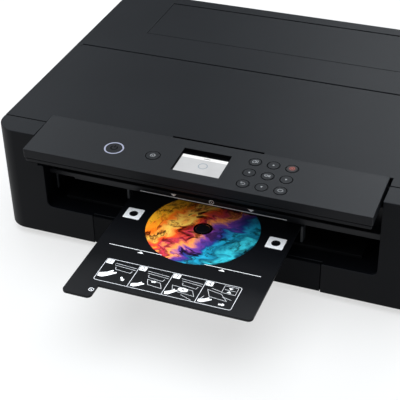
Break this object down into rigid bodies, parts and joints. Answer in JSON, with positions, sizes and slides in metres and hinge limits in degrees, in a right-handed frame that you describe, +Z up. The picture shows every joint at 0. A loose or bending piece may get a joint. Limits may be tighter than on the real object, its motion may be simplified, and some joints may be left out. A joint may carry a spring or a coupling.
{
  "type": "inkjet photo printer",
  "caption": "Wide dark desktop inkjet photo printer with a tilting key panel and display, a printable-disc tray run out at the front, a paper cassette and a rear sheet feed.",
  "frame": {"origin": "On the desk, under the middle of the printer with its disc tray out at the rest pose", "axes": "+X to the right as seen from the front, +Y to the back, +Z up"},
  "size_m": [0.479, 0.525, 0.1394],
  "materials": {
    "casing": "fine-grained dark grey",
    "casing_top": "satin dark grey",
    "casing_inner": "matt black",
    "panel": "satin grey",
    "key": "satin grey",
    "key_red": "satin grey with a red mark",
    "light_ring": "translucent, lit",
    "screen": "clear window",
    "display": "lit display",
    "tray": "matt black with white print",
    "disc": "printed face",
    "rubber": "matt black",
    "steel": "zinc-plated",
    "motor": "grey",
    "gear": "off-white acetal",
    "brass": "machined",
    "post": "light grey",
    "ink": "dark grey",
    "board": "green laminate"
  },
  "bodies": {
    "casing": {"base_pan": "casing_inner", "rubber_feet": "rubber", "front_frame": "casing", "side_cover_left": "casing", "side_cover_right": "casing", "rear_panel": "casing", "rear_corner_left": "casing", "rear_corner_right": "casing", "rear_deck": "casing_top", "hinge_pins": "steel", "hopper": "casing_inner", "guide_bar": "casing", "guide_posts": "post", "chassis": "steel", "guide_shaft": "steel", "drive_belt": "rubber", "motors": "motor", "platen": "casing_inner", "capping_station": "rubber", "main_board": "board", "power_supply": "casing_inner"},
    "lid": {"top_cover": "casing_top"},
    "feed_cover": {"rear_feed_cover": "casing_top"},
    "support": {"paper_support": "casing_inner"},
    "feed_left": {"feed_guide_left": "casing_inner"},
    "feed_right": {"feed_guide_right": "casing_inner"},
    "access": {"rear_access_cover": "casing"},
    "panel": {"panel_shell": "panel", "panel_base": "casing", "lcd_module": "display", "lcd_window": "screen", "power_ring": "light_ring"},
    "tray": {"disc_tray": "tray", "disc": "disc"},
    "output": {"output_tray": "casing_inner"},
    "extension": {"output_extension": "casing_inner"},
    "cassette": {"paper_cassette": "casing"},
    "cassette_left": {"cassette_guide_left": "casing_inner"},
    "cassette_right": {"cassette_guide_right": "casing_inner"},
    "cassette_end": {"cassette_end_guide": "casing_inner"},
    "head": {"carriage": "casing_inner", "ink_cartridges": "ink"},
    "drive": {"motor_pulley": "gear"},
    "idler": {"idler_pulley": "gear"},
    "feed": {"feed_roller": "steel", "feed_gear": "gear"},
    "eject": {"eject_roller": "rubber", "eject_gear": "gear"},
    "transfer": {"transfer_gear": "gear"},
    "pinion": {"motor_pinion": "brass"},
    "pinch": {"pinch_rollers": "rubber"},
    "press_power_button": {"power_button": "key"},
    "press_home_key": {"home_key": "key"},
    "press_key_copies": {"key_copies": "key"},
    "press_key_up": {"key_up": "key"},
    "press_key_stop": {"key_stop": "key_red"},
    "press_key_left": {"key_left": "key"},
    "press_key_ok": {"key_ok": "key"},
    "press_key_right": {"key_right": "key"},
    "press_key_back": {"key_back": "key"},
    "press_key_down": {"key_down": "key"},
    "press_key_start": {"key_start": "key"}
  },
  "joints": [
    {"name": "lid_open", "type": "hinge", "parent": "casing", "child": "lid", "pos_m": [0, 0.1, 0.1355], "axis": [-1, 0, 0], "range_deg": [0, 65]},
    {"name": "feed_cover_open", "type": "hinge", "parent": "casing", "child": "feed_cover", "pos_m": [0, 0.2425, 0.1355], "axis": [-1, 0, 0], "range_deg": [0, 95]},
    {"name": "support_slide", "type": "slide", "parent": "feed_cover", "child": "support", "axis": [0, -1, 0], "range_m": [0, 0.05]},
    {"name": "feed_guide_left_slide", "type": "slide", "parent": "casing", "child": "feed_left", "axis": [1, 0, 0], "range_m": [0, 0.05]},
    {"name": "feed_guide_right_slide", "type": "slide", "parent": "casing", "child": "feed_right", "axis": [1, 0, 0], "range_m": [-0.05, 0]},
    {"name": "access_open", "type": "hinge", "parent": "casing", "child": "access", "pos_m": [0, 0.26, 0.043], "axis": [-1, 0, 0], "range_deg": [0, 70]},
    {"name": "panel_tilt", "type": "hinge", "parent": "casing", "child": "panel", "pos_m": [0, -0.0715, 0.13], "axis": [1, 0, 0], "range_deg": [0, 30]},
    {"name": "power_button_press", "type": "slide", "parent": "panel", "child": "press_power_button", "axis": [0, 0.0349, -0.9994], "range_m": [0, 0.0008], "stiffness_N_per_m": 300},
    {"name": "home_key_press", "type": "slide", "parent": "panel", "child": "press_home_key", "axis": [0, 0.0349, -0.9994], "range_m": [0, 0.0008], "stiffness_N_per_m": 300},
    {"name": "key_copies_press", "type": "slide", "parent": "panel", "child": "press_key_copies", "axis": [0, 0.0349, -0.9994], "range_m": [0, 0.0008], "stiffness_N_per_m": 300},
    {"name": "key_up_press", "type": "slide", "parent": "panel", "child": "press_key_up", "axis": [0, 0.0349, -0.9994], "range_m": [0, 0.0008], "stiffness_N_per_m": 300},
    {"name": "key_stop_press", "type": "slide", "parent": "panel", "child": "press_key_stop", "axis": [0, 0.0349, -0.9994], "range_m": [0, 0.0008], "stiffness_N_per_m": 300},
    {"name": "key_left_press", "type": "slide", "parent": "panel", "child": "press_key_left", "axis": [0, 0.0349, -0.9994], "range_m": [0, 0.0008], "stiffness_N_per_m": 300},
    {"name": "key_ok_press", "type": "slide", "parent": "panel", "child": "press_key_ok", "axis": [0, 0.0349, -0.9994], "range_m": [0, 0.0008], "stiffness_N_per_m": 300},
    {"name": "key_right_press", "type": "slide", "parent": "panel", "child": "press_key_right", "axis": [0, 0.0349, -0.9994], "range_m": [0, 0.0008], "stiffness_N_per_m": 300},
    {"name": "key_back_press", "type": "slide", "parent": "panel", "child": "press_key_back", "axis": [0, 0.0349, -0.9994], "range_m": [0, 0.0008], "stiffness_N_per_m": 300},
    {"name": "key_down_press", "type": "slide", "parent": "panel", "child": "press_key_down", "axis": [0, 0.0349, -0.9994], "range_m": [0, 0.0008], "stiffness_N_per_m": 300},
    {"name": "key_start_press", "type": "slide", "parent": "panel", "child": "press_key_start", "axis": [0, 0.0349, -0.9994], "range_m": [0, 0.0008], "stiffness_N_per_m": 300},
    {"name": "tray_slide", "type": "slide", "parent": "casing", "child": "tray", "axis": [0, 1, 0], "range_m": [-0.03, 0.094]},
    {"name": "output_slide", "type": "slide", "parent": "casing", "child": "output", "axis": [0, -1, 0], "range_m": [0, 0.13]},
    {"name": "extension_slide", "type": "slide", "parent": "output", "child": "extension", "axis": [0, -1, 0], "range_m": [0, 0.1]},
    {"name": "cassette_slide", "type": "slide", "parent": "casing", "child": "cassette", "axis": [0, -1, 0], "range_m": [0, 0.23]},
    {"name": "cassette_left_slide", "type": "slide", "parent": "cassette", "child": "cassette_left", "axis": [1, 0, 0], "range_m": [0, 0.05]},
    {"name": "cassette_right_slide", "type": "slide", "parent": "cassette", "child": "cassette_right", "axis": [1, 0, 0], "range_m": [-0.05, 0]},
    {"name": "cassette_end_slide", "type": "slide", "parent": "cassette", "child": "cassette_end", "axis": [0, 1, 0], "range_m": [0, 0.09]},
    {"name": "carriage_slide", "type": "slide", "parent": "casing", "child": "head", "axis": [1, 0, 0], "range_m": [-0.3, 0]},
    {"name": "drive_pulley_spin", "type": "hinge", "parent": "casing", "child": "drive", "pos_m": [0.172, 0.064, 0.109], "axis": [0, 1, 0], "range_deg": [-1, 2820]},
    {"name": "idler_pulley_spin", "type": "hinge", "parent": "casing", "child": "idler", "pos_m": [-0.172, 0.064, 0.109], "axis": [0, 1, 0], "range_deg": [-1, 2820]},
    {"name": "feed_spin", "type": "hinge", "parent": "casing", "child": "feed", "pos_m": [0, 0.0425, 0.0616], "axis": [1, 0, 0], "continuous": true},
    {"name": "transfer_spin", "type": "hinge", "parent": "casing", "child": "transfer", "pos_m": [-0.202, 0.0005, 0.0616], "axis": [1, 0, 0], "continuous": true},
    {"name": "eject_spin", "type": "hinge", "parent": "casing", "child": "eject", "pos_m": [0, -0.0415, 0.0616], "axis": [1, 0, 0], "continuous": true},
    {"name": "pinion_spin", "type": "hinge", "parent": "casing", "child": "pinion", "pos_m": [-0.202, 0.06513, 0.03897], "axis": [1, 0, 0], "continuous": true},
    {"name": "pinch_spin", "type": "hinge", "parent": "casing", "child": "pinch", "pos_m": [0, 0.0425, 0.0772], "axis": [1, 0, 0], "continuous": true}
  ],
  "couplings": [
    {"joint": "feed_guide_right_slide", "follows": "feed_guide_left_slide", "ratio": -1},
    {"joint": "cassette_right_slide", "follows": "cassette_left_slide", "ratio": -1},
    {"joint": "drive_pulley_spin", "follows": "carriage_slide", "rad_per_m": -163.93},
    {"joint": "idler_pulley_spin", "follows": "carriage_slide", "rad_per_m": -163.93},
    {"joint": "transfer_spin", "follows": "feed_spin", "ratio": -1.3333},
    {"joint": "eject_spin", "follows": "feed_spin", "ratio": 1},
    {"joint": "pinion_spin", "follows": "feed_spin", "ratio": -3},
    {"joint": "pinch_spin", "follows": "feed_spin", "ratio": -2}
  ]
}
